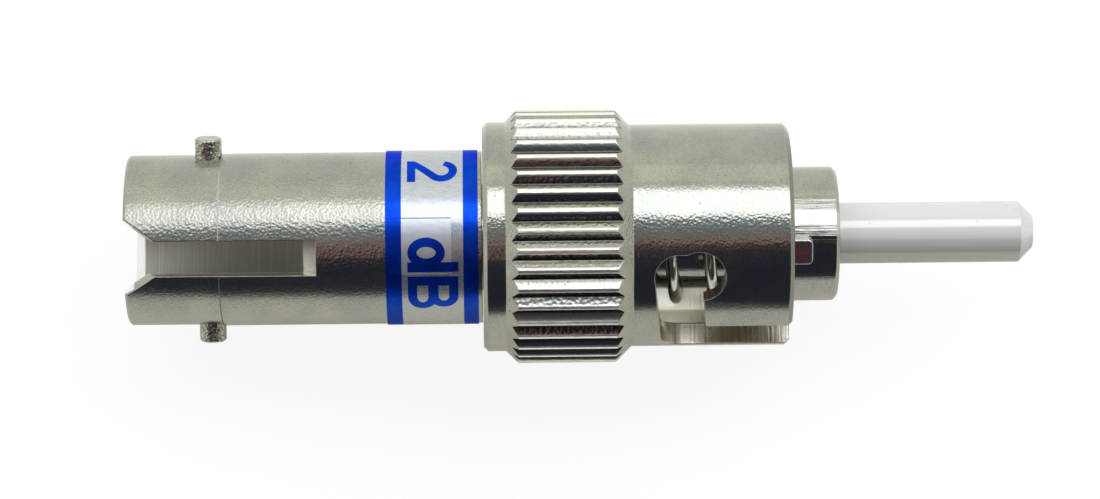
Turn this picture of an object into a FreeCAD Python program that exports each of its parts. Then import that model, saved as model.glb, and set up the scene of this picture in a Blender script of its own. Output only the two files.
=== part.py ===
import FreeCAD, Part
import os
import re
import Sketcher

# ST fibre attenuator, built along +X from the centre of the socket's mouth to the tip of the ferrule.
# +Z points through the key slot and the key, and the bayonet lugs stand along Y. Millimetres and degrees.

# Each driving size is one cell of the sheet.
SIZES = {
    # Socket barrel
    "barrel_diameter": 7.05,
    "barrel_length": 14.42,
    "relief_depth": 0.05,
    "relief_length": 3.82,
    "mouth_bevel": 0.1,
    "mouth_lead": 0.34,
    "socket_bore": 5.9,
    "socket_depth": 7.2,
    "keyway_width": 1.45,
    "keyway_overrun": 0.53,
    "keyway_mouth_width": 3.68,
    "keyway_mouth_depth": 1.34,
    "keyway_bevel": 22.0,
    # Bayonet lugs
    "lug_diameter": 1.1,
    "lug_span": 8.5,
    "lug_station": 3.3,
    "lug_setback": 0.04,
    "lug_bevel": 0.06,
    # Label
    "label_setback": 0.16,
    "label_width": 3.73,
    "label_film": 0.045,
    "label_lap_width": 2.66,
    "label_lap_angle": 37.0,
    "label_seam_angle": 25.5,
    # Cap at the floor of the socket
    "cap_diameter": 5.5,
    "cap_flange": 1.2,
    "cap_spigot": 0.9,
    "port_diameter": 2.9,
    "port_lead": 0.35,
    # Split sleeve
    "sleeve_diameter": 3.2,
    "sleeve_length": 11.4,
    "sleeve_slit": 0.5,
    "sleeve_play": 0.3,
    "sleeve_clearance": 0.05,
    # Ferrule, its collar and the fibre
    "ferrule_diameter": 2.5,
    "ferrule_reach": 8.1,
    "ferrule_bevel": 0.57,
    "ferrule_collar": 1.0,
    "fibre_diameter": 0.125,
    "fibre_clearance": 0.0005,
    # Plug body
    "tube_diameter": 4.4,
    "plug_reach": 14.48,
    "nose_length": 3.7,
    "nose_bevel": 0.15,
    "nose_clearance": 0.2,
    "key_clearance": 0.225,
    "key_rise": 0.55,
    "key_root": 0.4,
    "key_length": 2.0,
    "key_setback": 1.16,
    "key_corner": 0.2,
    # Coupling nut
    "nut_gap": 0.03,
    "nut_length": 12.48,
    "nut_wall": 1.6,
    "nut_bevel": 0.18,
    "nut_running_clearance": 0.05,
    "collar_diameter": 9.4,
    "collar_length": 0.91,
    "knurl_diameter": 10.4,
    "knurl_length": 3.98,
    "knurl_depth": 0.26,
    "knurl_flank": 54.0,
    "knurl_count": 40,
    "knurl_phase": 1.9,
    "skirt_diameter": 9.1,
    "skirt_depth": 7.63,
    "skirt_clearance": 0.125,
    # Bayonet slots
    "lug_clearance": 0.39,
    "pocket_clearance": 0.51,
    "pocket_inset": 3.81,
    "pocket_depth": 0.86,
    "pocket_angle": -9.3,
    "ramp_turn": 44.1,
    "ramp_rise": 0.31,
    # Spring and washer
    "spring_wire": 0.52,
    "spring_sides": 8,
    "spring_pitch": 1.57,
    "spring_guide": 0.11,
    "spring_clearance": 0.35,
    "spring_seat": 0.01,
    "spring_phase": 34.0,
    "washer_thickness": 0.35,
    # How far a cutting shape runs past what it cuts
    "cut_margin": 0.5,
}

# Stations along the axis, from the mouth
CAP_SEAT = "(socket_depth + cap_flange)"
SPIGOT_END = f"({CAP_SEAT} + cap_spigot)"
SLEEVE_REAR = f"({SPIGOT_END} + sleeve_play / 2)"
SLEEVE_FRONT = f"({SLEEVE_REAR} + sleeve_length)"
CONTACT = f"({SLEEVE_REAR} + sleeve_length / 2)"
COLLAR_REAR = f"({SLEEVE_FRONT} + sleeve_play / 2)"
COLLAR_FRONT = f"({COLLAR_REAR} + ferrule_collar)"
NOSE_FRONT = "(barrel_length + plug_reach)"
NOSE_REAR = f"({NOSE_FRONT} - nose_length)"
FERRULE_TIP = f"({NOSE_FRONT} + ferrule_reach)"
KEY_FRONT = f"({NOSE_FRONT} - key_setback)"
LABEL_FRONT = "(barrel_length - label_setback)"
LABEL_REAR = f"({LABEL_FRONT} - label_width)"
NUT_REAR = "(barrel_length + nut_gap)"
NUT_FRONT = f"({NUT_REAR} + nut_length)"
NUT_FLOOR = f"({NUT_REAR} + nut_wall)"
SKIRT_FLOOR = f"({NUT_FRONT} - skirt_depth)"
KNURL_REAR = f"({NUT_REAR} + collar_length)"
WASHER_FRONT = f"({NUT_FLOOR} + washer_thickness)"
POCKET = f"({NUT_FRONT} - pocket_inset)"
RAMP_END = f"({POCKET} - pocket_depth)"
RAMP_ENTRY = f"({RAMP_END} + ramp_rise)"

# Radii about the axis
BARREL = "(barrel_diameter / 2)"
RELIEF = f"({BARREL} - relief_depth)"
SOCKET = "(socket_bore / 2)"
CAP = "(cap_diameter / 2)"
PORT = "(port_diameter / 2)"
SLEEVE = "(sleeve_diameter / 2)"
HOUSING = f"({SLEEVE} + sleeve_clearance)"
FERRULE = "(ferrule_diameter / 2)"
FIBRE = "(fibre_diameter / 2)"
TUBE = "(tube_diameter / 2)"
NOSE = f"({SOCKET} - nose_clearance)"
NUT_BORE = f"({TUBE} + nut_running_clearance)"
COLLAR = "(collar_diameter / 2)"
KNURL = "(knurl_diameter / 2)"
SKIRT = "(skirt_diameter / 2)"
SKIRT_BORE = f"({BARREL} + skirt_clearance)"
SPRING_INSIDE = f"({TUBE} + spring_guide)"
SPRING_OUTSIDE = f"({SPRING_INSIDE} + spring_wire)"
SPRING_ROOM = f"({SPRING_OUTSIDE} + spring_clearance)"

SLOT = "(lug_diameter / 2 + lug_clearance)"
LOCK = "(lug_diameter / 2 + pocket_clearance)"
ENTRY_ANGLE = "(pocket_angle - ramp_turn)"

doc = FreeCAD.newDocument("attenuator")


def size_sheet():
    sheet = doc.addObject("Spreadsheet::Sheet", "Sizes")
    for row, (name, value) in enumerate(SIZES.items(), start=1):
        sheet.set(f"A{row}", name)
        sheet.set(f"B{row}", str(value))
        sheet.setAlias(f"B{row}", name)
    doc.recompute()


def bound(text):
    """The expression with each size's name read from the sheet."""
    return re.sub(r"\b[a-z]\w+\b(?!\()", r"Sizes.\g<0>", text)


def bind(thing, **expressions):
    for path, text in expressions.items():
        thing.setExpression(path.replace("__", "."), bound(text))


def new_body(label):
    body = doc.addObject("PartDesign::Body", label)
    body.Label = label
    return body


def origin_feature(body, role):
    return next(f for f in body.Origin.OriginFeatures if f.Role == role)


def pin_corners(sketch, corners):
    """A closed outline whose corners each stand at a bound distance from the sketch's origin."""
    count = len(corners)
    start = [FreeCAD.Vector(step, step * step, 0) for step in range(count)]
    for step in range(count):
        sketch.addGeometry(Part.LineSegment(start[step], start[(step + 1) % count]), False)
    for step in range(count):
        sketch.addConstraint(Sketcher.Constraint("Coincident", step, 2, (step + 1) % count, 1))
    for step, corner in enumerate(corners):
        for kind, text, value in zip(("DistanceX", "DistanceY"), corner, start[step]):
            index = sketch.addConstraint(Sketcher.Constraint(kind, -1, 1, step, 1, value))
            sketch.setExpression(f"Constraints[{index}]", bound(text))


def outline(body, name, role, corners):
    sketch = body.newObject("Sketcher::SketchObject", name)
    sketch.AttachmentSupport = (origin_feature(body, role), "")
    sketch.MapMode = "FlatFace"
    pin_corners(sketch, corners)
    return sketch


def rectangle(left, right, bottom, top):
    return [(left, bottom), (right, bottom), (right, top), (left, top)]


def revolve(body, sketch, axis="H_Axis"):
    turned = body.newObject("PartDesign::Revolution", f"{sketch.Name}_turned")
    turned.Profile = sketch
    turned.ReferenceAxis = (sketch, [axis])
    turned.Angle = 360
    body.Tip = turned
    doc.recompute()
    return turned


def turned_body(label, corners):
    """A piece turned about the X axis from its half section, given as corners (station, radius)."""
    body = new_body(label)
    revolve(body, outline(body, f"{label}_section", "XZ_Plane", corners))
    return body


def pocket(body, sketch, through=False, upward=False, both_ways=False):
    cut = body.newObject("PartDesign::Pocket", f"{sketch.Name}_cut")
    cut.Profile = sketch
    cut.Reversed = upward
    if both_ways:
        cut.SideType = "Symmetric"
    if through:
        cut.Type = "ThroughAll"
    body.Tip = cut
    return cut


def finish_cut(body, cut):
    """Build a cut, and see that it took material away."""
    before = cut.BaseFeature.Shape.Volume
    doc.recompute()
    if not cut.Shape.Volume < before:
        raise RuntimeError(f"{cut.Name} cut nothing from {body.Label}")


def socket_barrel():
    body = turned_body("socket_barrel", [
        ("0", f"{SOCKET} + mouth_lead"),
        ("0", f"{RELIEF} - mouth_bevel"),
        ("mouth_bevel", RELIEF),
        ("relief_length", RELIEF),
        ("relief_length", BARREL),
        ("barrel_length", BARREL),
        ("barrel_length", TUBE),
        (CAP_SEAT, TUBE),
        (CAP_SEAT, CAP),
        ("socket_depth", CAP),
        ("socket_depth", SOCKET),
        ("mouth_lead", SOCKET),
    ])
    keyway = outline(body, "keyway", "XY_Plane", rectangle(
        "-cut_margin", "socket_depth + keyway_overrun", "-keyway_width / 2", "keyway_width / 2"))
    finish_cut(body, pocket(body, keyway, through=True, upward=True))

    # The slot's mouth opens in a V whose walls lean outwards.
    mouth = outline(body, "keyway_mouth", "XY_Plane", [
        ("-cut_margin", "-keyway_mouth_width / 2"),
        ("0", "-keyway_mouth_width / 2"),
        ("keyway_mouth_depth", "-keyway_width / 2"),
        ("keyway_mouth_depth", "keyway_width / 2"),
        ("0", "keyway_mouth_width / 2"),
        ("-cut_margin", "keyway_mouth_width / 2"),
    ])
    bind(mouth, AttachmentOffset__Base__z=BARREL)
    opening = pocket(body, mouth)
    bind(opening, Length=f"{BARREL} - {SOCKET} + cut_margin", TaperAngle="-keyway_bevel")
    finish_cut(body, opening)

    lugs = body.newObject("Sketcher::SketchObject", "lug_holes")
    lugs.AttachmentSupport = (origin_feature(body, "XZ_Plane"), "")
    lugs.MapMode = "FlatFace"
    lugs.addGeometry(Part.Circle(FreeCAD.Vector(1, 0, 0), FreeCAD.Vector(0, 0, 1), 1), False)
    lugs.addConstraint(Sketcher.Constraint("PointOnObject", 0, 3, -1))
    station = lugs.addConstraint(Sketcher.Constraint("DistanceX", -1, 1, 0, 3, 1))
    diameter = lugs.addConstraint(Sketcher.Constraint("Diameter", 0, 2))
    lugs.setExpression(f"Constraints[{station}]", bound("lug_station"))
    lugs.setExpression(f"Constraints[{diameter}]", bound("lug_diameter"))
    finish_cut(body, pocket(body, lugs, through=True, both_ways=True))
    return body


def lug_pin(label, turn):
    """A pin pressed through the barrel's wall, its foot set back from the socket's bore."""
    body = new_body(label)
    section = outline(body, f"{label}_section", "XY_Plane", [
        ("0", f"{SOCKET} + lug_setback"),
        ("lug_diameter / 2", f"{SOCKET} + lug_setback"),
        ("lug_diameter / 2", "lug_span / 2 - lug_bevel"),
        ("lug_diameter / 2 - lug_bevel", "lug_span / 2"),
        ("0", "lug_span / 2"),
    ])
    revolve(body, section, "V_Axis")
    body.Placement = FreeCAD.Placement(
        FreeCAD.Vector(), FreeCAD.Rotation(FreeCAD.Vector(1, 0, 0), turn))
    bind(body, Placement__Base__x="lug_station")
    return body


def value_label():
    """Foil wrapped once round the barrel, with its end lapped over the start."""
    body = turned_body("value_label", rectangle(
        LABEL_REAR, LABEL_FRONT, BARREL, f"{BARREL} + label_film"))
    lap = outline(body, "label_lap", "XZ_Plane", rectangle(
        LABEL_REAR, f"{LABEL_REAR} + label_lap_width", BARREL, f"{BARREL} + 2 * label_film"))
    lapped = revolve(body, lap)
    bind(lapped, Angle="label_lap_angle")
    body.Placement.Rotation = FreeCAD.Rotation(FreeCAD.Vector(1, 0, 0), 0)
    bind(body, Placement__Rotation__Angle="-label_seam_angle")
    return body


def sleeve_cap():
    return turned_body("sleeve_cap", [
        ("socket_depth", f"{PORT} + port_lead"),
        ("socket_depth", CAP),
        (CAP_SEAT, CAP),
        (CAP_SEAT, HOUSING),
        (SPIGOT_END, HOUSING),
        (SPIGOT_END, PORT),
        ("socket_depth + port_lead", PORT),
    ])


def split_sleeve():
    body = turned_body("split_sleeve", rectangle(SLEEVE_REAR, SLEEVE_FRONT, FERRULE, SLEEVE))
    slit = outline(body, "sleeve_slit", "XY_Plane", rectangle(
        f"{SLEEVE_REAR} - cut_margin", f"{SLEEVE_FRONT} + cut_margin", "-sleeve_slit / 2", "sleeve_slit / 2"))
    finish_cut(body, pocket(body, slit, through=True))
    return body


def ferrule():
    return turned_body("ferrule", [
        (CONTACT, f"{FIBRE} + fibre_clearance"),
        (CONTACT, f"{FERRULE} - ferrule_bevel"),
        (f"{CONTACT} + ferrule_bevel", FERRULE),
        (f"{FERRULE_TIP} - ferrule_bevel", FERRULE),
        (FERRULE_TIP, f"{FERRULE} - ferrule_bevel"),
        (FERRULE_TIP, f"{FIBRE} + fibre_clearance"),
    ])


def doped_fibre():
    fibre = doc.addObject("Part::Cylinder", "doped_fibre")
    fibre.Label = "doped_fibre"
    bind(fibre, Radius=FIBRE, Height=f"{FERRULE_TIP} - {CONTACT}")
    fibre.Placement.Rotation = FreeCAD.Rotation(FreeCAD.Vector(0, 1, 0), 90)
    bind(fibre, Placement__Base__x=CONTACT)
    return fibre


def ferrule_collar():
    return turned_body("ferrule_collar", rectangle(COLLAR_REAR, COLLAR_FRONT, FERRULE, HOUSING))


def plug_body():
    body = turned_body("plug_body", [
        (CAP_SEAT, HOUSING),
        (CAP_SEAT, TUBE),
        (NOSE_REAR, TUBE),
        (NOSE_REAR, NOSE),
        (f"{NOSE_FRONT} - nose_bevel", NOSE),
        (NOSE_FRONT, f"{NOSE} - nose_bevel"),
        (NOSE_FRONT, FERRULE),
        (COLLAR_FRONT, FERRULE),
        (COLLAR_FRONT, HOUSING),
    ])
    half_width = "(keyway_width / 2 - key_clearance)"
    foot = outline(body, "key_foot", "XY_Plane", rectangle(
        f"{KEY_FRONT} - key_length", KEY_FRONT, f"-{half_width}", half_width))
    bind(foot, AttachmentOffset__Base__z=f"{NOSE} - key_root")
    key = body.newObject("PartDesign::Pad", "key")
    key.Profile = foot
    bind(key, Length="key_root + key_rise")
    body.Tip = key
    doc.recompute()

    corners = body.newObject("PartDesign::Fillet", "key_corners")
    corners.Base = (key, upright_edges(key.Shape))
    bind(corners, Radius="key_corner")
    body.Tip = corners
    doc.recompute()
    return body


def upright_edges(shape):
    """The names of the straight edges that run along Z."""
    names = []
    for number, edge in enumerate(shape.Edges, start=1):
        if edge.Curve.TypeId == "Part::GeomLine" and abs(edge.Curve.Direction.z) > 0.999:
            names.append(f"Edge{number}")
    return names


def knurled_blank():
    """The coupling nut before its slots are milled: turned, then knurled with straight V grooves."""
    body = turned_body("knurled_blank", [
        (NUT_REAR, NUT_BORE),
        (NUT_REAR, f"{COLLAR} - nut_bevel"),
        (f"{NUT_REAR} + nut_bevel", COLLAR),
        (KNURL_REAR, COLLAR),
        (f"{KNURL_REAR} + {KNURL} - {COLLAR}", KNURL),
        (f"{KNURL_REAR} + {KNURL} - {COLLAR} + knurl_length", KNURL),
        (f"{KNURL_REAR} + 2 * {KNURL} - {COLLAR} - {SKIRT} + knurl_length", SKIRT),
        (f"{NUT_FRONT} - nut_bevel", SKIRT),
        (NUT_FRONT, f"{SKIRT} - nut_bevel"),
        (NUT_FRONT, SKIRT_BORE),
        (SKIRT_FLOOR, SKIRT_BORE),
        (SKIRT_FLOOR, SPRING_ROOM),
        (NUT_FLOOR, SPRING_ROOM),
        (NUT_FLOOR, NUT_BORE),
    ])
    spread = "(knurl_depth + cut_margin) * tan(knurl_flank)"
    groove = outline(body, "knurl_groove", "YZ_Plane", [
        ("0", f"{KNURL} - knurl_depth"),
        (spread, f"{KNURL} + cut_margin"),
        (f"-{spread}", f"{KNURL} + cut_margin"),
    ])
    cut = pocket(body, groove, through=True, upward=True)
    finish_cut(body, cut)
    grooves = body.newObject("PartDesign::PolarPattern", "knurl")
    grooves.Originals = [cut]
    grooves.Axis = (origin_feature(body, "X_Axis"), [""])
    grooves.Angle = 360
    bind(grooves, Occurrences="knurl_count")
    body.Tip = grooves
    body.Placement.Rotation = FreeCAD.Rotation(FreeCAD.Vector(1, 0, 0), 0)
    bind(body, Placement__Rotation__Angle="-knurl_phase")
    doc.recompute()
    return body


def place_on_skirt(thing, station, angle):
    """Stand a shape's own Z axis out from the axis at a station, turned from +Z towards +Y."""
    thing.Placement.Rotation = FreeCAD.Rotation(FreeCAD.Vector(1, 0, 0), 1)
    bind(thing, Placement__Base__x=station, Placement__Rotation__Angle=f"-{angle}")


def round_cutter(name, station, angle, radius):
    cutter = doc.addObject("Part::Cylinder", name)
    bind(cutter, Radius=radius, Height=f"{SKIRT} + cut_margin")
    place_on_skirt(cutter, station, angle)
    return cutter


def straight_cutter(name, station, length, angle):
    """A run of the cutter along the axis, drawn about its own middle line."""
    section = doc.addObject("Sketcher::SketchObject", f"{name}_outline")
    pin_corners(section, rectangle("0", length, f"-{SLOT}", SLOT))
    cutter = doc.addObject("Part::Extrusion", name)
    cutter.Base = section
    cutter.Dir = FreeCAD.Vector(0, 0, 1)
    cutter.Solid = True
    bind(cutter, LengthFwd=f"{SKIRT} + cut_margin")
    place_on_skirt(cutter, station, angle)
    return cutter


def ramp_cutter(name, angle):
    """The helical run from the lock pocket to the entry, a square section swept along a helix."""
    path = doc.addObject("Part::Helix", f"{name}_path")
    path.Placement.Rotation = FreeCAD.Rotation(0, 90, 0)
    bind(path, Pitch="ramp_rise * 360 / ramp_turn", Height="ramp_rise", Radius=SKIRT)
    section = doc.addObject("Sketcher::SketchObject", f"{name}_section")
    pin_corners(section, rectangle(
        f"-{SLOT}", SLOT, f"-({SKIRT} + cut_margin)", f"-({SKIRT_BORE} - cut_margin)"))
    section.Placement.Rotation = FreeCAD.Rotation(FreeCAD.Vector(1, 0, 0), 90)
    swept = doc.addObject("Part::Sweep", name)
    swept.Sections = [section]
    swept.Spine = (path, ["Edge1"])
    swept.Solid = True
    swept.Frenet = True
    place_on_skirt(swept, RAMP_END, f"({angle} + 180)")
    return swept


def bayonet_cutters(side, turn):
    lock = f"(pocket_angle + {turn})"
    entry = f"({ENTRY_ANGLE} + {turn})"
    return [
        straight_cutter(f"{side}_entry", RAMP_ENTRY, f"{NUT_FRONT} - {RAMP_ENTRY} + cut_margin", entry),
        round_cutter(f"{side}_corner", RAMP_ENTRY, entry, SLOT),
        ramp_cutter(f"{side}_ramp", lock),
        round_cutter(f"{side}_ramp_end", RAMP_END, lock, SLOT),
        straight_cutter(f"{side}_lock_run", RAMP_END, "pocket_depth", lock),
        round_cutter(f"{side}_pocket", POCKET, lock, LOCK),
    ]


def coupling_nut():
    slots = doc.addObject("Part::MultiFuse", "bayonet_slots")
    slots.Shapes = bayonet_cutters("near", 0) + bayonet_cutters("far", 180)
    nut = doc.addObject("Part::Cut", "coupling_nut")
    nut.Label = "coupling_nut"
    nut.Base = knurled_blank()
    nut.Tool = slots
    return nut


def thrust_washer():
    return turned_body("thrust_washer", rectangle(NUT_FLOOR, WASHER_FRONT, NUT_BORE, SPRING_OUTSIDE))


def nut_spring():
    """Open-ended coil between the washer and the nose. Its wire has a few flat sides, to keep it light."""
    path = doc.addObject("Part::Helix", "spring_path")
    rear = f"({WASHER_FRONT} + spring_wire / 2 + spring_seat)"
    bind(path, Pitch="spring_pitch", Radius=f"{SPRING_INSIDE} + spring_wire / 2",
         Height=f"{NOSE_REAR} - spring_wire / 2 - spring_seat - {rear}")
    wire = doc.addObject("Part::RegularPolygon", "spring_section")
    bind(wire, Polygon="spring_sides", Circumradius="spring_wire / 2",
         Placement__Base__x=f"{SPRING_INSIDE} + spring_wire / 2")
    wire.Placement.Rotation = FreeCAD.Rotation(FreeCAD.Vector(1, 0, 0), 90)
    spring = doc.addObject("Part::Sweep", "nut_spring")
    spring.Label = "nut_spring"
    spring.Sections = [wire]
    spring.Spine = (path, ["Edge1"])
    spring.Solid = True
    spring.Frenet = True
    phase = FreeCAD.Rotation(FreeCAD.Vector(1, 0, 0), SIZES["spring_phase"])
    spring.Placement.Rotation = phase * FreeCAD.Rotation(FreeCAD.Vector(0, 1, 0), 90)
    bind(spring, Placement__Base__x=rear)
    return spring


def write_parts(parts):
    doc.recompute()
    for thing in doc.Objects:
        if {"Invalid", "Error"} & set(thing.State):
            raise RuntimeError(f"{thing.Name} failed: {thing.State}")
    for part in parts:
        if part.Shape.isNull() or not part.Shape.isValid():
            raise RuntimeError(f"{part.Label} has no sound shape")
    os.makedirs("parts", exist_ok=True)
    for part in parts:
        part.Shape.exportStep(f"parts/{part.Label}.step")


size_sheet()
write_parts([
    socket_barrel(),
    lug_pin("upper_lug_pin", 0),
    lug_pin("lower_lug_pin", 180),
    value_label(),
    sleeve_cap(),
    split_sleeve(),
    ferrule(),
    ferrule_collar(),
    doped_fibre(),
    plug_body(),
    coupling_nut(),
    thrust_washer(),
    nut_spring(),
])
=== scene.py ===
import bpy
import math
from mathutils import Matrix, Vector
from types import SimpleNamespace


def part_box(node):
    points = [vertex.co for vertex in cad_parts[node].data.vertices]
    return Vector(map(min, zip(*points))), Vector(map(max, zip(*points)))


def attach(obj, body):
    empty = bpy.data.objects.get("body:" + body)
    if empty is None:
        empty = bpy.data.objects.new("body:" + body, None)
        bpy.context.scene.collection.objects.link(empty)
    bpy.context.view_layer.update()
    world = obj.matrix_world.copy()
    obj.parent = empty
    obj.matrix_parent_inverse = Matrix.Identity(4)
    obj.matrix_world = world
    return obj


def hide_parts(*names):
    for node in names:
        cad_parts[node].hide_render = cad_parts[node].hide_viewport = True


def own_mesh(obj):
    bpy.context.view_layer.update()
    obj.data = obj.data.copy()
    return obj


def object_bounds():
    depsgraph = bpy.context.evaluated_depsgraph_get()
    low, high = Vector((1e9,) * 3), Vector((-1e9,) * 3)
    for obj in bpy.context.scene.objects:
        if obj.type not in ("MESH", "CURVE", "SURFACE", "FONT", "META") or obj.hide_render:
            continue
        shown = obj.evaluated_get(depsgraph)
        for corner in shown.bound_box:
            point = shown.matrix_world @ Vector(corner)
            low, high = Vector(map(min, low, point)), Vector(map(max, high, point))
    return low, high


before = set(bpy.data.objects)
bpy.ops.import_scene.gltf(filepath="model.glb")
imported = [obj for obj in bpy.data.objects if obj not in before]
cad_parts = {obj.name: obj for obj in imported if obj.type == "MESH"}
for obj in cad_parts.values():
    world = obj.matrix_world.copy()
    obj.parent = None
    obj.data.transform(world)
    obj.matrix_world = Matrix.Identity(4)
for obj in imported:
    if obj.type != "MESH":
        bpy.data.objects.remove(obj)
cad_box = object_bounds()

MM = 0.001
FIXED_BODY = "socket_and_plug"


# Node graphs as expressions

class Field:
    """A value that changes over a surface. Arithmetic on it adds the Math nodes."""

    def __init__(self, finish, socket):
        self.finish = finish
        self.socket = socket

    def math(self, operation, other=0.0):
        return self.finish.node("ShaderNodeMath", {"operation": operation}, {0: self, 1: other})

    def __add__(self, other):
        return self.math("ADD", other)

    __radd__ = __add__

    def __mul__(self, other):
        return self.math("MULTIPLY", other)

    __rmul__ = __mul__

    def __sub__(self, other):
        return self.math("SUBTRACT", other)

    def __rsub__(self, other):
        settings = {"operation": "SUBTRACT"}
        return self.finish.node("ShaderNodeMath", settings, {0: other, 1: self})

    def __truediv__(self, other):
        return self.math("DIVIDE", other)

    def __abs__(self):
        return self.math("ABSOLUTE")

    def smoothly(self, low, high):
        """Eased from 0 to 1 as this value goes from low to high."""
        settings = {"interpolation_type": "SMOOTHSTEP"}
        return self.finish.node("ShaderNodeMapRange", settings, {0: self, 1: low, 2: high})

    def within(self, low, high, ease):
        """1 between the two values and 0 outside them, with soft edges."""
        rise = self.smoothly(low - ease, low + ease)
        return rise * (1 - self.smoothly(high - ease, high + ease))


class Finish:
    """A material, or the world, whose nodes are made by calls."""

    def __init__(self, owner):
        owner.use_nodes = True
        self.owner = owner
        self.tree = owner.node_tree
        self.tree.nodes.clear()

    def node(self, kind, settings=None, sockets=None, out=0):
        """One node: its settings, then its sockets' values or links. Gives one output."""
        made = self.tree.nodes.new(kind)
        for key, value in (settings or {}).items():
            if key == "stops":
                fill_ramp(made.color_ramp, value)
            else:
                setattr(made, key, value)
        for key, value in (sockets or {}).items():
            if isinstance(value, Field):
                self.tree.links.new(value.socket, made.inputs[key])
            else:
                made.inputs[key].default_value = value
        return Field(self, made.outputs[out]) if made.outputs else None

    def outputs(self, field, *names):
        """Several outputs of the node that a field comes from."""
        return [Field(self, field.socket.node.outputs[name]) for name in names]

    def axes(self, vector):
        return self.outputs(self.node("ShaderNodeSeparateXYZ", {}, {0: vector}), "X", "Y", "Z")

    def place(self):
        """Where a point lies on the piece at rest, in metres."""
        return self.node("ShaderNodeTexCoord", out="Object")

    def facing(self):
        """Which way the surface looks, in the piece's own axes."""
        return self.axes(self.node("ShaderNodeTexCoord", out="Normal"))

    def noise(self, spot, size, detail=2.0):
        """Soft noise with grains of about that size."""
        sockets = {"Vector": spot, "Scale": 1 / size, "Detail": detail}
        return self.node("ShaderNodeTexNoise", {}, sockets)

    def lines(self, along, size, detail=2.0):
        """Noise that changes in one direction only."""
        sockets = {"W": along, "Scale": 1 / size, "Detail": detail}
        return self.node("ShaderNodeTexNoise", {"noise_dimensions": "1D"}, sockets)

    def stretched(self, spot, scale):
        """The place with its axes scaled, which draws noise out into streaks."""
        return self.node("ShaderNodeVectorMath", {"operation": "MULTIPLY"}, {0: spot, 1: scale})

    def mix(self, share, first, second):
        """A colour between two."""
        sockets = {0: share, 6: first, 7: second}
        return self.node("ShaderNodeMix", {"data_type": "RGBA"}, sockets, out=2)

    def bump(self, height, sockets=None):
        """The surface's normal, tilted by a height in metres."""
        sockets = {"Distance": 1.0, "Height": height, **(sockets or {})}
        return self.node("ShaderNodeBump", {}, sockets)

    def surface(self, sockets):
        return self.node("ShaderNodeBsdfPrincipled", {}, sockets)

    def cover(self, shader):
        self.node("ShaderNodeOutputMaterial", {}, {"Surface": shader})
        return self.owner


def fill_ramp(ramp, stops):
    while len(ramp.elements) < len(stops):
        ramp.elements.new(1.0)
    for element, (position, colour) in zip(ramp.elements, stops):
        element.position = position
        element.color = colour


def new_finish(name):
    return Finish(bpy.data.materials.new(name))


# Nickel plate. Colours are reflectances, and a pair of lengths is where a mask fades in

COOL_NICKEL = (0.34, 0.36, 0.305, 1)
WARM_NICKEL = (0.41, 0.415, 0.335, 1)
STAINED_NICKEL = (0.35, 0.31, 0.19, 1)
DARK_NICKEL = (0.17, 0.175, 0.145, 1)
LIGHT_NICKEL = (0.62, 0.63, 0.53, 1)
SPECK = (0.05, 0.045, 0.04, 1)
CUT_BRASS = (0.63, 0.6, 0.46, 1)


def nickel_colour(finish, spot):
    """Warm grey with faint cool and yellow clouds, a fine mottle and a few dark pin specks."""
    cloud = finish.noise(spot, 1.7 * MM, 3.0)
    stain = finish.noise(spot, 0.6 * MM).smoothly(0.56, 0.8)
    mottle = finish.noise(spot, 0.075 * MM)
    specks = finish.noise(spot, 0.15 * MM, 1.0).smoothly(0.765, 0.8)
    colour = finish.mix(cloud.smoothly(0.3, 0.7), COOL_NICKEL, WARM_NICKEL)
    colour = finish.mix(stain * 0.45, colour, STAINED_NICKEL)
    colour = finish.mix(mottle.smoothly(0.5, 0.72) * 0.22, colour, DARK_NICKEL)
    colour = finish.mix((1 - mottle).smoothly(0.5, 0.72) * 0.22, colour, LIGHT_NICKEL)
    return finish.mix(specks * 0.8, colour, SPECK)


def orange_peel(finish, spot, size, depth):
    """The fine pebbled skin of plate over turned brass."""
    return finish.noise(spot, size) * depth


def pebbles(finish, spot, size, depth):
    """Round grains of about that size, each with its own small glint."""
    settings = {"feature": "SMOOTH_F1"}
    cells = {"Vector": spot, "Scale": 1 / size, "Smoothness": 0.6}
    return finish.node("ShaderNodeTexVoronoi", settings, cells, out="Distance") * depth


def metal(finish, colour, rough, height, edge):
    """Bare metal with its edges softened by that radius."""
    softened = finish.node("ShaderNodeBevel", {"samples": 8}, {"Radius": edge})
    normal = finish.bump(height, {"Normal": softened})
    return finish.cover(finish.surface({
        "Base Color": colour, "Metallic": 1.0, "Roughness": rough, "Normal": normal}))


def axis_distance(across, up):
    return (across * across + up * up).math("SQRT")


def round_axis(across, up):
    """The angle about the axis in degrees, from +Z towards +Y."""
    return across.math("ARCTAN2", up) * math.degrees(1)


BORE_WALL = (2.97 * MM, 3.1 * MM)            # radii
LEAD_IN_WALL = (3.3 * MM, 3.36 * MM)
RELIEF_WALL = (3.3 * MM, 3.4 * MM)
LEAD_IN_END = (0.34 * MM, 0.4 * MM)          # stations
RELIEF_LINE = (3.79 * MM, 3.85 * MM)
KEYWAY_FOOT = (2.6 * MM, 2.75 * MM)          # height above the axis
BORED = (0.58, 0.57, 0.49, 1)
BORING_RING_PAINTED_GLINT = (0.8, 0.78, 0.7, 1)
LEAD_IN_PAINTED_HIGHLIGHT = (0.98, 0.98, 0.96, 1)
RELIEF_SHADE = (0.1, 0.1, 0.09, 1)
RELIEF_GLINT = (0.8, 0.8, 0.72, 1)
KEYWAY_PAINTED_HIGHLIGHT = (0.96, 0.95, 0.9, 1)


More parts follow.
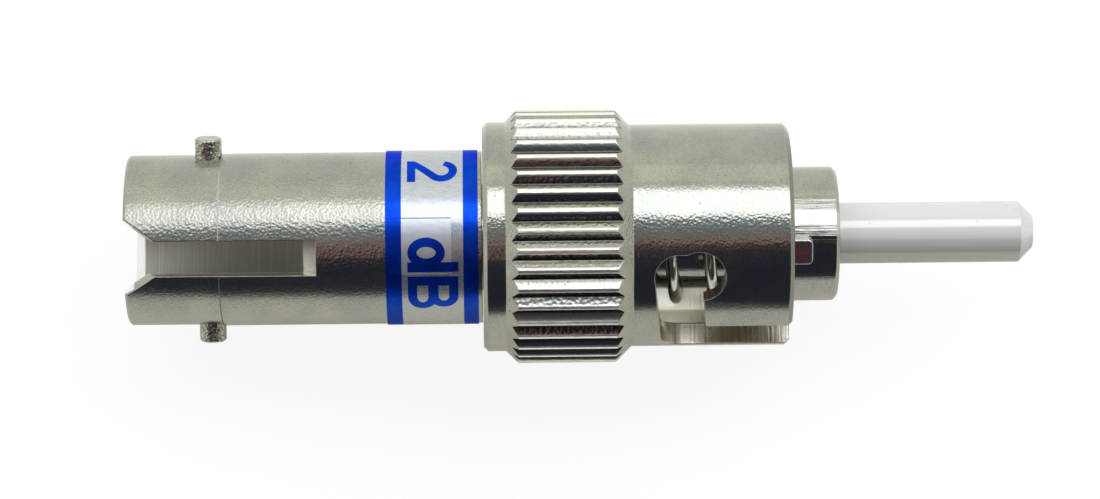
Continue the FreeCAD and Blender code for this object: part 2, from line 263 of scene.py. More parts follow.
def barrel_zones(finish, spot):
    """The barrel's bore, lead-in, relief line and key slot, each from 0 to 1."""
    along, across, up = finish.axes(spot)
    radius = axis_distance(across, up)
    _, facing_across, _ = finish.facing()
    lead_in = (1 - radius.smoothly(*LEAD_IN_WALL)) * (1 - along.smoothly(*LEAD_IN_END))
    return SimpleNamespace(
        along=along, angle=round_axis(across, up), lead_in=lead_in,
        bore=1 - radius.smoothly(*BORE_WALL),
        relief=along.within(*RELIEF_LINE, 0.015 * MM) * radius.smoothly(*RELIEF_WALL),
        keyway=abs(facing_across).smoothly(0.9, 0.97) * up.smoothly(*KEYWAY_FOOT))


def barrel_colour(finish, spot, zones, rings):
    """Nickel, thin in the bore, with the boring rings painted as glints. The lead-in and the key
    slot's walls are painted near-white as highlights, and the relief line has painted light on its
    upper side and painted shade below.
    """
    lit = zones.angle.within(-2, 155, 6)
    colour = finish.mix(zones.bore * 0.75, nickel_colour(finish, spot), BORED)
    # Painted glint: the boring tool's rings in the bore are painted lighter.
    colour = finish.mix(zones.bore * rings.smoothly(0.55, 0.75) * 0.5, colour, BORING_RING_PAINTED_GLINT)
    # Painted highlight: the lead-in is painted near-white.
    colour = finish.mix(zones.lead_in, colour, LEAD_IN_PAINTED_HIGHLIGHT)
    # Painted shade below the relief line and painted light above it.
    colour = finish.mix(zones.relief * (1 - lit) * 0.8, colour, RELIEF_SHADE)
    colour = finish.mix(zones.relief * lit * 0.4, colour, RELIEF_GLINT)
    # Painted highlight: the key slot's walls are painted near-white.
    return finish.mix(zones.keyway, colour, KEYWAY_PAINTED_HIGHLIGHT)


def barrel_plate():
    """Pebbled outside, a satin bore with the rings of its boring tool, and a lead-in painted
    near-white as a highlight.
    """
    finish = new_finish("barrel_plate")
    spot = finish.place()
    zones = barrel_zones(finish, spot)
    rings = finish.lines(zones.along, 0.07 * MM, 3.0)
    pebbled = zones.angle.within(-19, 155, 11) * 0.7 + 0.3 - zones.angle.within(25, 45, 4) * 0.3
    grain = pebbles(finish, spot, 0.12 * MM, 0.0105 * MM)
    grain = grain + orange_peel(finish, spot, 0.07 * MM, 0.0065 * MM)
    height = grain * ((1 - zones.bore) * pebbled) + rings * zones.bore * (0.004 * MM)
    rough = zones.bore * 0.36 + finish.noise(spot, 0.5 * MM) * 0.08 + 0.15
    return metal(finish, barrel_colour(finish, spot, zones, rings), rough, height, 0.07 * MM)


SLOT_RUN = (20.4 * MM, 26.88 * MM)           # stations
NUT_REAR = (14.55 * MM, 14.65 * MM)
RIM_FACE = (26.74 * MM, 26.78 * MM)
NUT_BORE = (3.66 * MM, 3.76 * MM)            # radii
RIM_EDGE = (4.3 * MM, 4.4 * MM)
KNURL_FOOT = (4.72 * MM, 4.8 * MM)
FLANK_FOOT = 4.9 * MM
GROOVE_FLOOR = (4.99 * MM, 5.07 * MM)
GROOVE_FLANK = (5.07 * MM, 5.13 * MM)
CREST = (5.12 * MM, 5.17 * MM)
NUT_INSIDE_PAINTED_LIGHTER = (0.5, 0.49, 0.42, 1)
LIT_INSIDE = (0.97, 0.96, 0.88, 1)
RIM_SHADE = (0.12, 0.12, 0.1, 1)
GROOVE_DIRT_AND_SHADE = (0.08, 0.075, 0.065, 1)
CREST_NICKEL = (0.97, 0.98, 0.85, 1)


def nut_zones(finish, spot):
    """The nut's slot walls, inside, rim and knurl, with its grooves' dirt and painted shade, its
    bands of painted shade and its crests, each from 0 to 1.
    """
    along, across, up = finish.axes(spot)
    facing_along, facing_across, facing_up = finish.facing()
    radius, angle = axis_distance(across, up), round_axis(across, up)
    outward = abs(facing_across * across + facing_up * up) / radius
    knurl = radius.smoothly(*KNURL_FOOT) * (1 - abs(facing_along).smoothly(0.2, 0.5))
    # Two bands round the axis where the knurl's lower flanks get painted shade.
    shaded_bands = angle.within(44, 64, 3) + angle.within(-43, -21, 3)
    return SimpleNamespace(
        along=along, radius=radius, angle=angle, knurl=knurl,
        walls=(1 - outward.smoothly(0.25, 0.6)) * along.within(*SLOT_RUN, 0.02 * MM),
        inside=(1 - radius.smoothly(*NUT_BORE)) * along.smoothly(*NUT_REAR),
        rim=along.smoothly(*RIM_FACE) * radius.smoothly(*RIM_EDGE),
        groove_dirt_and_shade=knurl * (1 - radius.smoothly(*GROOVE_FLOOR)),
        shaded_bands=knurl * (1 - radius.smoothly(*GROOVE_FLANK)) * shaded_bands,
        crests=knurl * radius.smoothly(*CREST))


def nut_colour(finish, spot, zones, chatter):
    """Brass where the slots were milled, painted light inside, painted shade on the rim, dirt and
    painted shade in the grooves, and crests rubbed bright.
    """
    milled = zones.walls * chatter.smoothly(0.2, 0.6)
    colour = finish.mix(milled, nickel_colour(finish, spot), CUT_BRASS)
    # Painted light: the nut's bore is painted lighter than its plate, and a pool of light is
    # painted low inside it.
    colour = finish.mix(zones.inside * 0.7, colour, NUT_INSIDE_PAINTED_LIGHTER)
    colour = finish.mix(zones.inside * zones.angle.within(-172, -108, 2), colour, LIT_INSIDE)
    colour = finish.mix(zones.rim * 0.5, colour, RIM_SHADE)
    # Dirt and painted shade in the knurl's grooves, and painted shade on two bands of its lower
    # flanks.
    colour = finish.mix(zones.groove_dirt_and_shade * 0.62, colour, GROOVE_DIRT_AND_SHADE)
    colour = finish.mix(zones.shaded_bands * 0.72, colour, GROOVE_DIRT_AND_SHADE)
    return finish.mix(zones.crests * 0.95, colour, CREST_NICKEL)


def nut_height(finish, spot, zones, chatter):
    """Two pebbled bands on the skirt, dents and tilted flanks on the knurl, and tool marks."""
    skin = pebbles(finish, spot, 0.115 * MM, 0.007 * MM)
    skin = skin + orange_peel(finish, spot, 0.07 * MM, 0.0035 * MM)
    pebbled = zones.angle.within(9, 24, 3) * 1.1 + zones.angle.within(35, 39, 2) * 0.4
    skin = skin * (pebbled * (1 - zones.knurl) + 0.25)
    dents = pebbles(finish, spot, 0.16 * MM, 0.009 * MM) * zones.knurl
    flanks = (zones.radius - FLANK_FOOT) * zones.knurl * 0.08
    return skin + dents + flanks + chatter * (zones.walls + zones.inside) * (0.006 * MM)


def nut_plate():
    """Plate with a finer skin than the barrel's, worn on the knurl's crests, with dirt and painted
    shade in its grooves.
    """
    finish = new_finish("nut_plate")
    spot = finish.place()
    zones = nut_zones(finish, spot)
    chatter = finish.lines(zones.along, 0.09 * MM, 3.0)
    rough = (zones.walls + zones.inside) * 0.16 + zones.crests * 0.22
    rough = rough + finish.noise(spot, 0.5 * MM) * 0.07 + 0.09
    colour = nut_colour(finish, spot, zones, chatter)
    return metal(finish, colour, rough, nut_height(finish, spot, zones, chatter), 0.085 * MM)


KEY_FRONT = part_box("plug_body")[1].x - 1.16 * MM
KEY_FOOT = (2.78 * MM, 2.82 * MM)            # radius
KEY_HALF_WIDTH = 0.4 * MM
KEY_LEVEL = (3.1 * MM, 3.2 * MM)             # height above the axis
NOSE_PAINTED_HIGHLIGHT = (0.62, 0.62, 0.55, 1)
KEY_PAINTED_HIGHLIGHT = (0.75, 0.75, 0.7, 1)
KEY_TOP_PAINTED_REFLECTION = (0.5, 0.29, 0.24, 1)


def key_zones(along, across, up):
    """The key, and its flat top inside the edges."""
    key = axis_distance(across, up).smoothly(*KEY_FOOT)
    top = key * across.within(-KEY_HALF_WIDTH, KEY_HALF_WIDTH, 0.02 * MM) * up.smoothly(*KEY_LEVEL)
    return key, top * (1 - along.smoothly(KEY_FRONT - 0.12 * MM, KEY_FRONT - 0.08 * MM))


def plug_plate():
    """A nose with a painted highlight band, two bands of streaks drawn along it, and a key with
    painted highlights on its edges and a painted reddish reflection on its top.
    """
    finish = new_finish("plug_plate")
    spot = finish.place()
    along, across, up = finish.axes(spot)
    angle = round_axis(across, up)
    key, key_top = key_zones(along, across, up)
    rubbed = angle.within(10, 21, 2) * 1.5 + angle.within(33, 45, 2)
    streaks = finish.noise(finish.stretched(spot, (0.02, 1, 1)), 0.085 * MM, 3.0)
    rough = streaks * 0.06 + key_top * 0.16 + 0.06
    height = streaks * (rubbed * (0.036 * MM) + 0.004 * MM)
    height = height + orange_peel(finish, spot, 0.15 * MM, 0.002 * MM)
    # Painted highlight: a band round the nose where the lamp's reflection falls is painted lighter.
    colour = finish.mix(angle.within(12, 33, 4) * 0.7, nickel_colour(finish, spot), NOSE_PAINTED_HIGHLIGHT)
    # Painted highlight: the key is painted pale, so that its edges show bright.
    colour = finish.mix(key * 0.8, colour, KEY_PAINTED_HIGHLIGHT)
    # Painted reflection: the key's flat top is painted a dark red, for the red it mirrors.
    colour = finish.mix(key_top, colour, KEY_TOP_PAINTED_REFLECTION)
    return metal(finish, colour, rough, height, 0.1 * MM)


def pin_plate():
    """Rough-plated pins, worn to the brass in patches."""
    finish = new_finish("pin_plate")
    spot = finish.place()
    worn = finish.noise(spot, 0.35 * MM, 3.0).smoothly(0.5, 0.66)
    colour = finish.mix(worn * 0.6, nickel_colour(finish, spot), CUT_BRASS)
    height = orange_peel(finish, spot, 0.16 * MM, 0.085 * MM)
    return metal(finish, colour, worn * 0.1 + 0.05, height, 0.06 * MM)


def cap_plate():
    """Satin, from the face tool that trims it in the barrel."""
    finish = new_finish("cap_plate")
    spot = finish.place()
    grain = finish.noise(spot, 0.09 * MM, 3.0)
    colour = finish.mix(grain, (0.88, 0.87, 0.79, 1), (0.97, 0.96, 0.88, 1))
    return metal(finish, colour, grain * 0.15 + 0.75, grain * (0.006 * MM), 0.03 * MM)


def collar_plate():
    finish = new_finish("collar_plate")
    spot = finish.place()
    height = orange_peel(finish, spot, 0.15 * MM, 0.005 * MM)
    rough = finish.noise(spot, 0.4 * MM) * 0.1 + 0.12
    return metal(finish, nickel_colour(finish, spot), rough, height, 0.03 * MM)


# The other finishes

CERAMIC = (0.73, 0.77, 0.705, 1)
PALE_CERAMIC = (0.79, 0.82, 0.755, 1)
CERAMIC_PAINTED_LIGHT = (0.9, 0.935, 0.87, 1)
CERAMIC_PAINTED_SHADE = (0.63, 0.645, 0.54, 1)
CERAMIC_SPECK = (0.2, 0.2, 0.18, 1)


def white_zirconia():
    """Dense white ceramic, ground smooth, with painted light along a band and painted shade, darker
    and warmer, on the side away from the lamp.
    """
    finish = new_finish("white_zirconia")
    spot = finish.place()
    _, across, up = finish.axes(spot)
    angle = round_axis(across, up)
    cloud = finish.noise(spot, 1.5 * MM)
    specks = finish.noise(spot, 0.14 * MM, 1.0).smoothly(0.775, 0.8)
    colour = finish.mix(cloud, CERAMIC, PALE_CERAMIC)
    colour = finish.mix(specks * 0.7, colour, CERAMIC_SPECK)
    # Painted light: a band round the ferrule is painted paler.
    colour = finish.mix(angle.within(0, 22, 8) * 0.8, colour, CERAMIC_PAINTED_LIGHT)
    # Painted shade: the side away from the lamp is painted darker and warmer.
    colour = finish.mix(angle.within(-140, -16, 16) * 0.8, colour, CERAMIC_PAINTED_SHADE)
    ground = finish.noise(finish.stretched(spot, (1, 0.2, 0.2)), 0.06 * MM)
    return finish.cover(finish.surface({
        "Base Color": colour, "Roughness": cloud * 0.1 + 0.08, "IOR": 2.25,
        "Specular Tint": (1, 1, 0.88, 1), "Normal": finish.bump(ground * (0.0006 * MM))}))


def spring_steel():
    """Bright drawn wire, with streaks and a few dark marks from coiling."""
    finish = new_finish("spring_steel")
    spot = finish.place()
    streak = finish.noise(spot, 0.16 * MM, 3.0)
    marks = finish.noise(spot, 0.5 * MM).smoothly(0.58, 0.7)
    colour = finish.mix(streak, (0.56, 0.56, 0.5, 1), (0.78, 0.77, 0.7, 1))
    colour = finish.mix(marks * 0.5, colour, (0.22, 0.21, 0.18, 1))
    return metal(finish, colour, streak * 0.1 + 0.06, streak * (0.003 * MM), 0.02 * MM)


def fibre_glass():
    finish = new_finish("fibre_glass")
    core = finish.noise(finish.place(), 0.05 * MM)
    colour = finish.mix(core, (0.35, 0.37, 0.4, 1), (0.55, 0.57, 0.6, 1))
    return finish.cover(finish.surface({"Base Color": colour, "Roughness": core * 0.05 + 0.05}))


# Label: foil wrapped once round the barrel, its end lapped over its start. In millimetres

LABEL_LOW, LABEL_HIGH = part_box("value_label")
LABEL_REAR, LABEL_FRONT = LABEL_LOW.x / MM, LABEL_HIGH.x / MM
FILM = 0.045
BARREL_RADIUS = 3.525
LAP_TOP, LAP_FOOT = 25.5, -11.5              # degrees from +Z towards +Y
LAP_FRONT = LABEL_REAR + 2.66
LAP_END, LAP_EDGE = 0.35, 0.02               # over which the lap drops: degrees, millimetres
EDGE_RINGS = 5
SEAM_ANGLE, SEAM_HALF = LAP_TOP + 0.15, 0.35
CREASE_ANGLE, CREASE_HALF = LAP_FOOT - 0.2, 0.23
REAR_STRIPE, FRONT_STRIPE = 0.645, 0.6
FOIL = (0.57, 0.61, 0.62, 1)
FOIL_SHADE = (0.5, 0.54, 0.55, 1)
LAP_PAINTED_LIGHT = (0.78, 0.83, 0.84, 1)
FOIL_PAINTED_SHADE = (0.45, 0.44, 0.36, 1)
FOIL_PAINTED_HIGHLIGHT = (0.85, 0.87, 0.88, 1)
SEAM = (0.03, 0.026, 0.024, 1)
INK = (0.005, 0.064, 0.62, 1)
DEEP_INK = (0.004, 0.045, 0.5, 1)
INK_PAINTED_SHADE = (0.05, 0.085, 0.2, 1)


def step_up(value, start, end):
    share = min(1, max(0, (value - start) / (end - start)))
    return share * share * (3 - 2 * share)


def label_radius(station, angle):
    """The foil's outer surface. It stands higher where the end lies over the start."""
    foot = step_up(angle, LAP_FOOT - LAP_END, LAP_FOOT)
    top = step_up(angle, LAP_TOP, LAP_TOP + LAP_END)
    front = step_up(station, LAP_FRONT - LAP_EDGE, LAP_FRONT)
    return BARREL_RADIUS + FILM + FILM * foot * (1 - top) * (1 - front)


def on_label(station, angle, lift=0.0, bridge=0.0):
    """A point over the foil. Ink bridges the lap's front edge instead of dropping down it."""
    radius = label_radius(station - bridge, angle) + lift
    turn = math.radians(angle)
    return Vector((station, radius * math.sin(turn), radius * math.cos(turn))) * MM


def painted_shade_side(finish, spot):
    """1 in a band down the label's side away from the lamp, where painted shade darkens the foil
    and ink.
    """
    _, across, up = finish.axes(spot)
    return round_axis(across, up).within(-80, -38, 15)


def foil_ink(finish, spot):
    """The ink's colour, a little deeper in places."""
    colour = finish.mix(finish.noise(spot, 0.8 * MM).smoothly(0.35, 0.65), DEEP_INK, INK)
    # Painted shade on the label's side away from the lamp.
    return finish.mix(painted_shade_side(finish, spot) * 0.7, colour, INK_PAINTED_SHADE)


def ink_coat(finish, spot, normal):
    """Clear blue ink on foil, so what it mirrors is blue too."""
    return finish.surface({
        "Base Color": foil_ink(finish, spot), "Metallic": 0.85, "Normal": normal,
        "Roughness": finish.noise(spot, 0.06 * MM) * 0.15 + 0.22,
        "Specular Tint": (0.03, 0.34, 1, 1)})


def label_zones(finish, spot):
    """The foil without ink, and the lap with its seam, crease and front edge, each from 0 to 1."""
    along, across, up = finish.axes(spot)
    angle = round_axis(across, up)
    stripe_ends = (LABEL_REAR + REAR_STRIPE) * MM, (LABEL_FRONT - FRONT_STRIPE) * MM
    lapped = 1 - along.smoothly((LAP_FRONT - LAP_EDGE) * MM, LAP_FRONT * MM)
    edge = along.within((LAP_FRONT - 0.03) * MM, LAP_FRONT * MM, 0.012 * MM)
    return SimpleNamespace(
        plain=along.within(*stripe_ends, 0.012 * MM),
        lap=angle.within(LAP_FOOT, LAP_TOP, 0.6) * lapped,
        seam=angle.within(SEAM_ANGLE - SEAM_HALF, SEAM_ANGLE + SEAM_HALF, 0.12) * lapped,
        crease=angle.within(CREASE_ANGLE - CREASE_HALF, CREASE_ANGLE + CREASE_HALF, 0.17) * 0.6,
        edge=edge * angle.within(CREASE_ANGLE, SEAM_ANGLE, 0.6) * 0.9)


def foil_colour(finish, spot, zones, brushed):
    """Brushed silver with painted light on the lap and painted shade on the side away from the
    lamp, a dark seam, and painted highlights on its crease and front edge.
    """
    colour = finish.mix(brushed.smoothly(0.3, 0.7), FOIL_SHADE, FOIL)
    # Painted light: the lap is painted paler.
    colour = finish.mix(zones.lap * 0.6, colour, LAP_PAINTED_LIGHT)
    colour = finish.mix(painted_shade_side(finish, spot) * 0.7, colour, FOIL_PAINTED_SHADE)
    colour = finish.mix(zones.seam, colour, SEAM)
    # Painted highlights on the lap's crease and front edge.
    return finish.mix(zones.crease.math("MAXIMUM", zones.edge), colour, FOIL_PAINTED_HIGHLIGHT)


def label_foil():
    """Silver foil with an inked stripe at each edge."""
    finish = new_finish("label_foil")
    spot = finish.place()
    zones = label_zones(finish, spot)
    brushed = finish.noise(finish.stretched(spot, (0.25, 1, 1)), 0.12 * MM, 3.0)
    height = brushed * (0.0006 * MM) + finish.noise(spot, 0.3 * MM) * (0.006 * MM)
    normal = finish.bump(height)
    foil = finish.surface({
        "Base Color": foil_colour(finish, spot, zones, brushed), "Metallic": 0.8,
        "Roughness": brushed * 0.12 + zones.lap * 0.1 + 0.21, "Normal": normal})
    inked = ink_coat(finish, spot, normal)
    return finish.cover(finish.node("ShaderNodeMixShader", {}, {0: zones.plain, 1: inked, 2: foil}))


def printed_ink():
    """The stripes' ink, on the value mark."""
    finish = new_finish("printed_ink")
    spot = finish.place()
    normal = finish.bump(finish.noise(spot, 0.06 * MM) * (0.002 * MM))
    return finish.cover(ink_coat(finish, spot, normal))


# Meshes

SHARP_EDGE = math.radians(35)


def add_piece(name, points, faces, material, nodes=()):
    """A mesh that rides on the fixed body and stands for the CAD nodes that it replaces."""
    mesh = bpy.data.meshes.new(name)
    mesh.from_pydata(points, [], faces)
    mesh.materials.append(material)
    mesh.shade_smooth()
    mesh.set_sharp_from_angle(angle=SHARP_EDGE)
    piece = bpy.data.objects.new(name, mesh)
    bpy.context.scene.collection.objects.link(piece)
    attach(piece, FIXED_BODY)
    if nodes:
        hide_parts(*nodes)
    return piece


def grid_faces(rows, columns, closed_rows=False, closed_columns=False):
    """Quads over rows of points. A closed direction joins its last line to its first."""
    faces = []
    for row in range(rows if closed_rows else rows - 1):
        for column in range(columns if closed_columns else columns - 1):
            right, below = (column + 1) % columns, (row + 1) % rows
            faces.append((row * columns + column, row * columns + right,
                          below * columns + right, below * columns + column))
    return faces


def wrapped_label():
    """A closed band of rings, closer together where the lap's edges drop."""
    stations = [LABEL_REAR + ahead for ahead in (0, 0.4, 1.2, 2.0)] + [LAP_FRONT - 0.1]
    stations += [LAP_FRONT + LAP_EDGE * (step / EDGE_RINGS - 1) for step in range(EDGE_RINGS + 1)]
    stations += [LAP_FRONT + 0.1, LABEL_FRONT - 0.4, LABEL_FRONT]
    angles = [-180 + 2 * step for step in range(180)]
    for edge in (LAP_FOOT - LAP_END, LAP_TOP):
        angles += [edge + LAP_END * step / EDGE_RINGS for step in range(EDGE_RINGS + 1)]
    angles.sort()
    rings = [[on_label(LABEL_REAR, angle, -FILM) for angle in angles]]
    rings += [[on_label(station, angle) for angle in angles] for station in stations]
    rings.append([on_label(LABEL_FRONT, angle, -FILM) for angle in angles])
    points = [point for ring in rings for point in ring]
    faces = grid_faces(len(rings), len(angles), closed_rows=True, closed_columns=True)
    faces = [tuple(reversed(face)) for face in faces]
    add_piece("wrapped_label", points, faces, label_foil(), nodes=["value_label"])


# The value mark reads down the label: a figure's own right is down the barrel's side, its top +X.
# Its strokes are lines of (right, up) in millimetres, each with a thickness

MARK_FOOT = 11.41
FIGURE_STARTS = (73, 13, -13)                # degrees from +Z towards +Y
INK_LIFT, INK_LAYER = 0.003, 0.0004          # over the foil, and of each stroke over the last
INK_BRIDGE = 0.05
RIBBON_POINTS = 7


def arc(centre, radii, start, end, steps=24):
    angles = [math.radians(start + (end - start) * step / steps) for step in range(steps + 1)]
    return [(centre[0] + radii[0] * math.cos(angle), centre[1] + radii[1] * math.sin(angle))
            for angle in angles]


def run(start, end, steps=12):
    shares = [step / steps for step in range(steps + 1)]
    return [(start[0] + (end[0] - start[0]) * share, start[1] + (end[1] - start[1]) * share)
            for share in shares]


def figure_two():
    bowl = arc((0.655, 1.385), (0.475, 0.475), 168, -38)
    return [
        (bowl + run(bowl[-1], (0.17, 0.24))[1:], 0.34),
        (run((0.0, 0.17), (1.31, 0.17)), 0.34),
    ]


def letter_d():
    return [
        (arc((0.6, 0.76), (0.42, 0.57), 0, 360, 48), 0.37),
        (run((1.2, 0.0), (1.2, 2.05), 60), 0.42),
    ]


def bowl_of_b(stem, foot, top, centre, radii):
    """Out from the stem, round and back to it."""
    outer = arc(centre, radii, -90, 90)
    return run((stem, foot), (centre[0], foot)) + outer + run((centre[0], top), (stem, top))


def letter_b():
    lower = bowl_of_b(0.2, 0.19, 1.01, (0.98, 0.6), (0.52, 0.41))
    upper = bowl_of_b(0.2, 1.05, 1.85, (0.95, 1.45), (0.46, 0.4))
    return [(run((0.21, 0.0), (0.21, 2.04)), 0.42), (lower, 0.37), (upper, 0.37)]


def stroke_points(line, thickness, start_angle, lift):
    """A flat ribbon along a line, laid on the foil."""
    rows = []
    for index, (right, rise) in enumerate(line):
        before, after = line[max(index - 1, 0)], line[min(index + 1, len(line) - 1)]
        way = Vector((after[0] - before[0], after[1] - before[1])).normalized()
        row = []
        for step in range(RIBBON_POINTS):
            offset = (step / (RIBBON_POINTS - 1) - 0.5) * thickness
            u, v = right - way.y * offset, rise + way.x * offset
            angle = start_angle - math.degrees(u / (BARREL_RADIUS + FILM))
            row.append(on_label(MARK_FOOT + v, angle, lift, INK_BRIDGE))
        rows.append(row)
    return rows


def value_mark():
    """A plain value and its unit, printed in strokes of even width."""
    points, faces = [], []
    lift = INK_LIFT
    figures = figure_two(), letter_d(), letter_b()
    for strokes, start_angle in zip(figures, FIGURE_STARTS):
        for line, thickness in strokes:
            rows = stroke_points(line, thickness, start_angle, lift)
            first = len(points)
            points += [point for row in rows for point in row]
            for face in grid_faces(len(rows), RIBBON_POINTS):
                faces.append(tuple(first + corner for corner in face))
            lift += INK_LAYER
    add_piece("value_mark", points, faces, printed_ink())


# Spring: an open coil of round wire between the washer and the nose. In millimetres

COIL_REAR, COIL_FRONT = 16.67, 24.93
COIL_RADIUS, WIRE_RADIUS = 2.57, 0.26
COIL_PITCH, COIL_PHASE = 1.57, 34.0
STEPS_PER_TURN, WIRE_SIDES = 72, 20


def wire_ring(turned):
    """The wire's round section where the coil has turned by that many degrees."""
    beta = math.radians(turned + COIL_PHASE)
    outward = Vector((0, math.sin(beta), -math.cos(beta)))
    climb = COIL_PITCH / (2 * math.pi * COIL_RADIUS)
    forward = Vector((climb, math.cos(beta), math.sin(beta))).normalized()
    rise = forward.cross(outward)
    centre = Vector((COIL_REAR + COIL_PITCH * turned / 360, 0, 0)) + outward * COIL_RADIUS
    ring = []
    for side in range(WIRE_SIDES):
        angle = 2 * math.pi * side / WIRE_SIDES
        spoke = outward * math.cos(angle) + rise * math.sin(angle)
        ring.append((centre + spoke * WIRE_RADIUS) * MM)
    return ring


def coil_spring():
    """The coil with its two ends closed."""
    turns = (COIL_FRONT - COIL_REAR) / COIL_PITCH
    steps = int(turns * STEPS_PER_TURN)
    rings = [wire_ring(360 * turns * step / steps) for step in range(steps + 1)]
    points = [point for ring in rings for point in ring]
    faces = grid_faces(len(rings), WIRE_SIDES, closed_columns=True)
    last = len(points) - WIRE_SIDES
    faces += [tuple(reversed(range(WIRE_SIDES))), tuple(range(last, last + WIRE_SIDES))]
    spring = add_piece("coil_spring", points, faces, spring_steel(),
                       nodes=["nut_spring"])
    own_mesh(spring)


def dress_nodes():
    """Every CAD node that is shown gets its finish."""
    pins, ceramic = pin_plate(), white_zirconia()
    finishes = {
        "socket_barrel": barrel_plate(), "upper_lug_pin": pins, "lower_lug_pin": pins,
        "sleeve_cap": cap_plate(), "ferrule_collar": collar_plate(), "plug_body": plug_plate(),
        "coupling_nut": nut_plate(), "ferrule": ceramic, "split_sleeve": ceramic,
        "thrust_washer": spring_steel(), "doped_fibre": fibre_glass(),
    }
    for node, material in finishes.items():
        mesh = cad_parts[node].data
        mesh.materials.clear()
        mesh.materials.append(material)


# Camera and studio

LEAN = math.radians(13.4)                    # how far the key slot is turned away from the camera
ROLL = math.radians(0.59)                    # the axis climbs to the right by this much
EYE_DISTANCE = 158 * MM
EYE_STATION = 14.68 * MM                     # the station that the eye stands over
AIM_STATION = 17.2 * MM                      # the station at the middle of the picture
AIM_DROP = 0.55 * MM                         # how far the picture's middle lies below the axis
FOCAL_PIXELS = 3849
PICTURE_WIDTH = 1100
SENSOR_WIDTH = 36
CLIP_START = 10 * MM


def make_camera():
    to_eye = Vector((0, math.sin(LEAN), math.cos(LEAN)))
    up = Vector((0, math.cos(LEAN), -math.sin(LEAN)))
    eye = Vector((EYE_STATION, 0, 0)) - up * AIM_DROP + to_eye * EYE_DISTANCE
    aim = Vector((AIM_STATION, 0, 0)) - up * AIM_DROP
    back = (eye - aim).normalized()
    tilted_up = up * math.cos(ROLL) + Vector((math.sin(ROLL), 0, 0))
    right = tilted_up.cross(back).normalized()
    turn = Matrix((right, back.cross(right), back)).transposed()
    lens = bpy.data.cameras.new("camera")
    lens.sensor_width = SENSOR_WIDTH
    lens.lens = FOCAL_PIXELS / PICTURE_WIDTH * SENSOR_WIDTH
    lens.clip_start = CLIP_START
    camera = bpy.data.objects.new("camera", lens)
    camera.matrix_world = Matrix.Translation(eye) @ turn.to_4x4()
    bpy.context.scene.collection.objects.link(camera)
    bpy.context.scene.camera = camera


# The studio's light at each angle about the part's axis: degrees from overhead, with the back
# positive, then red, green and blue
STUDIO = [
    (-90, 0.8, 0.8, 0.8),
    (-74, 0.72, 0.72, 0.71),
    (-68.5, 0.13, 0.13, 0.13),
    (-62, 0.036, 0.041, 0.06),
    (-18, 0.032, 0.038, 0.062),
    (-8, 0.36, 0.21, 0.21),
    (4, 0.42, 0.25, 0.25),
    (12, 0.25, 0.27, 0.3),
    (30, 0.42, 0.47, 0.56),
    (36, 2.85, 2.85, 3.2),
    (57, 2.85, 2.85, 3.2),
    (64, 1.15, 1.15, 1.15),
    (67, 1.02, 1.02, 1.0),
    (68.5, 0.62, 0.62, 0.6),
    (70, 1.1, 1.1, 1.06),
    (90, 1.1, 1.1, 1.05),
]
LAMP = 4.0
WHITE = (1, 1, 1, 1)
DARK_ROOM = (0.034, 0.04, 0.06)
RED_STRIP = (0.6, 0.33, 0.32)
LAMP_END = (1, 1, 1)
END_WALL = (1, 1, 0.96)


def lamp_share(light):
    """A light's colour, as a share of the lamp's strength."""
    return tuple(value / LAMP for value in light) + (1,)


def studio_colour(finish):
    """The light from each direction. Towards the plug's end a thin red strip takes the place of
    the broad red, and towards the socket's end the lamp fades."""
    along, across, up = finish.axes(finish.node("ShaderNodeTexCoord", out="Generated"))
    share = across.math("ARCTAN2", up) / math.pi + 0.5
    stops = [((angle + 90) / 180, lamp_share(light)) for angle, *light in STUDIO]
    colour = finish.node("ShaderNodeValToRGB", {"stops": stops}, {0: share})
    plug_end = along.smoothly(-0.035, 0.03)
    colour = finish.mix(share.within(0.405, 0.512, 0.015) * plug_end, colour, lamp_share(DARK_ROOM))
    red_line = share.within(0.528, 0.549, 0.007) * plug_end
    colour = finish.mix(red_line * 0.9, colour, lamp_share(RED_STRIP))
    fading = share.within(0.69, 0.84, 0.02) * (1 - along.smoothly(-0.12, 0)) * 0.82
    colour = finish.mix(fading, colour, lamp_share(LAMP_END))
    return finish.mix(abs(along).smoothly(0.75, 0.95), colour, lamp_share(END_WALL))


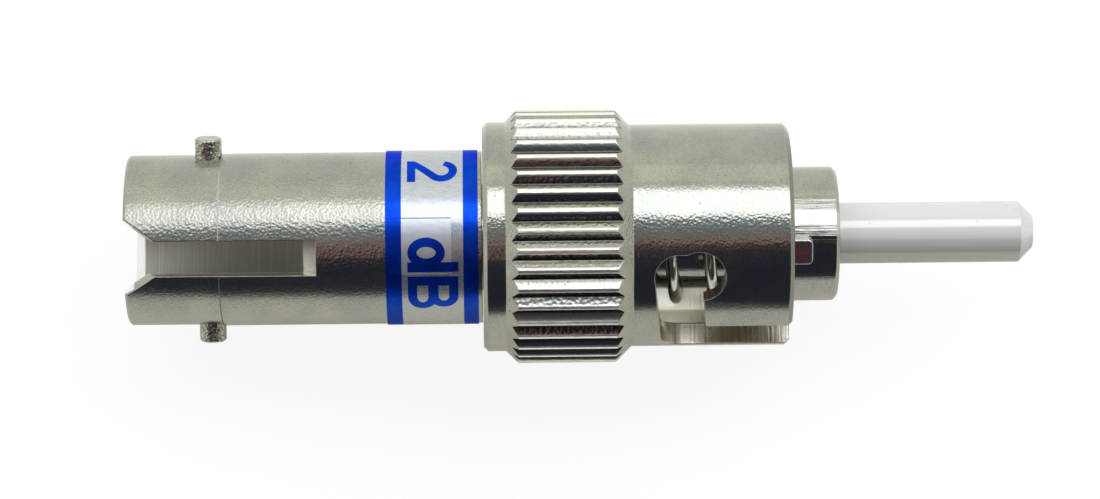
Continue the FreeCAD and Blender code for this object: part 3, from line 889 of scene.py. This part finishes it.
def make_world():
    """A soft studio: a broad lamp above and behind, pale walls low down, a dark room in front."""
    world = bpy.data.worlds.new("studio")
    bpy.context.scene.world = world
    finish = Finish(world)
    colour = studio_colour(finish)
    room = finish.node("ShaderNodeBackground", {}, {"Color": colour, "Strength": LAMP})
    plain = finish.node("ShaderNodeBackground", {}, {"Color": WHITE, "Strength": 1.0})
    seen = finish.node("ShaderNodeLightPath", out="Is Camera Ray")
    shown = finish.node("ShaderNodeMixShader", {}, {0: seen, 1: room, 2: plain})
    finish.node("ShaderNodeOutputWorld", {}, {"Surface": shown})


PAPER = (0.9, 0.9, 0.89, 1)
FAINT_PAPER = (0.3, 0.3, 0.3, 1)
NEAR_TINT, FAR_TINT = (1, 0.92, 0.7, 1), (1, 0.97, 0.88, 1)
FLOOR_REACH = 2.0


def white_paper():
    """Matt paper that looks white to the eye and in the metal, and keeps a faint shadow."""
    finish = new_finish("white_paper")

    def matt(colour):
        return finish.node("ShaderNodeBsdfDiffuse", {}, {"Color": colour})

    def glow(colour, strength):
        return finish.node("ShaderNodeEmission", {}, {"Color": colour, "Strength": strength})

    def blend(share, first, second):
        return finish.node("ShaderNodeMixShader", {}, {0: share, 1: first, 2: second})

    def add(first, second):
        return finish.node("ShaderNodeAddShader", {}, {0: first, 1: second})

    path = finish.node("ShaderNodeLightPath")
    seen, glossy, through = finish.outputs(
        path, "Is Camera Ray", "Is Glossy Ray", "Is Transmission Ray")
    _, across, _ = finish.axes(finish.place())
    behind = across.smoothly(-4 * MM, 4 * MM)
    low_glow = blend(behind, glow(NEAR_TINT, 0.26), glow(FAR_TINT, 0.42))
    paper = matt(PAPER)
    mirrored = blend(glossy, paper, add(paper, low_glow))
    to_eye = add(matt(FAINT_PAPER), glow(WHITE, 0.86))
    return finish.cover(blend((seen + through).math("MINIMUM", 1.0), mirrored, to_eye))


def make_floor():
    mesh = bpy.data.meshes.new("floor")
    reach, level = FLOOR_REACH, cad_box[0].z
    corners = [(-reach, -reach), (reach, -reach), (reach, reach), (-reach, reach)]
    mesh.from_pydata([(x, y, level) for x, y in corners], [], [(0, 1, 2, 3)])
    mesh.materials.append(white_paper())
    floor = bpy.data.objects.new("floor", mesh)
    bpy.context.scene.collection.objects.link(floor)


dress_nodes()
wrapped_label()
value_mark()
coil_spring()
make_camera()
make_world()
make_floor()
bpy.context.scene.view_settings.view_transform = "Standard"
